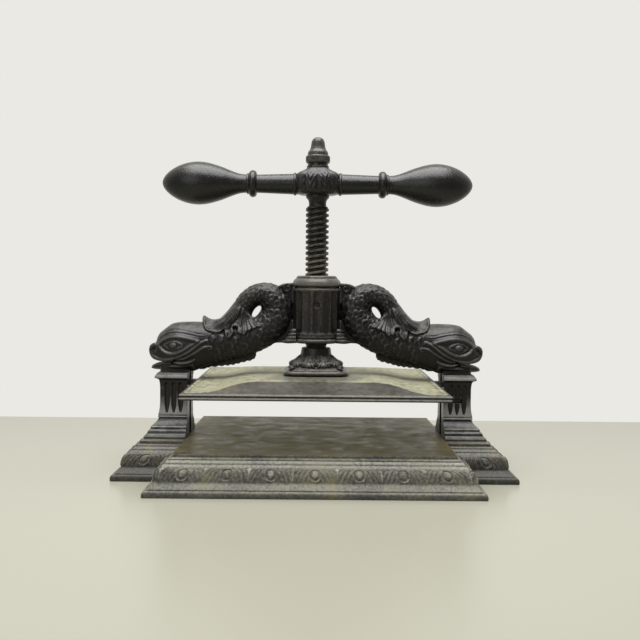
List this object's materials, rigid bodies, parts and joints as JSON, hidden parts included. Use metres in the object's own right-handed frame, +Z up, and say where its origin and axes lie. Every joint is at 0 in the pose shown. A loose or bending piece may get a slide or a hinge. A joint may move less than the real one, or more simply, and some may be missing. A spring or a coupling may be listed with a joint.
{
  "type": "copying press",
  "caption": "Cast-iron screw copying press: moulded bed, fluted columns and dolphin arms carry a nut boss; a bulb-ended handle turns the screw that raises and lowers the platen.",
  "frame": {"origin": "on the table, under the middle of the press", "axes": "+Z up along the screw, +X to the right along the handle, the front faces -Y"},
  "size_m": [0.53, 0.361, 0.4585],
  "materials": {
    "bed_iron": "worn black paint, dusty and rubbed to bare iron on the bed",
    "black_iron": "old black enamel with worn high spots",
    "platen_iron": "worn black paint with pale dust on top",
    "screw_steel": "dull oiled steel",
    "nut_bronze": "dull",
    "fixing_steel": "dark oiled steel"
  },
  "bodies": {
    "frame_unit": {"bed": "bed_iron", "left_column": "black_iron", "right_column": "black_iron", "foot_bolts": "fixing_steel", "foot_washers": "fixing_steel", "left_dolphin": "black_iron", "right_dolphin": "black_iron", "jaw_studs": "fixing_steel", "jaw_cotters": "fixing_steel", "nut_boss": "black_iron", "tail_studs": "fixing_steel", "screw_nut": "nut_bronze", "nut_set_screw": "fixing_steel"},
    "platen_unit": {"platen": "platen_iron", "screw_socket": "black_iron", "socket_screws": "fixing_steel", "thrust_disc": "fixing_steel"},
    "screw_unit": {"press_screw": "screw_steel", "thrust_collar": "fixing_steel", "collar_pin": "fixing_steel", "handle": "black_iron", "finial_washer": "screw_steel", "finial_nut": "screw_steel"}
  },
  "joints": [
    {"name": "platen_slide", "type": "slide", "parent": "frame_unit", "child": "platen_unit", "axis": [0, 0, 1], "range_m": [-0.0671, 0.0051]},
    {"name": "screw_turn", "type": "hinge", "parent": "platen_unit", "child": "screw_unit", "pos_m": [0, 0, 0.3], "axis": [0, 0, 1], "range_deg": [-1608, 120]}
  ],
  "couplings": [
    {"joint": "platen_slide", "follows": "screw_turn", "m_per_rad": 0.0023873}
  ]
}
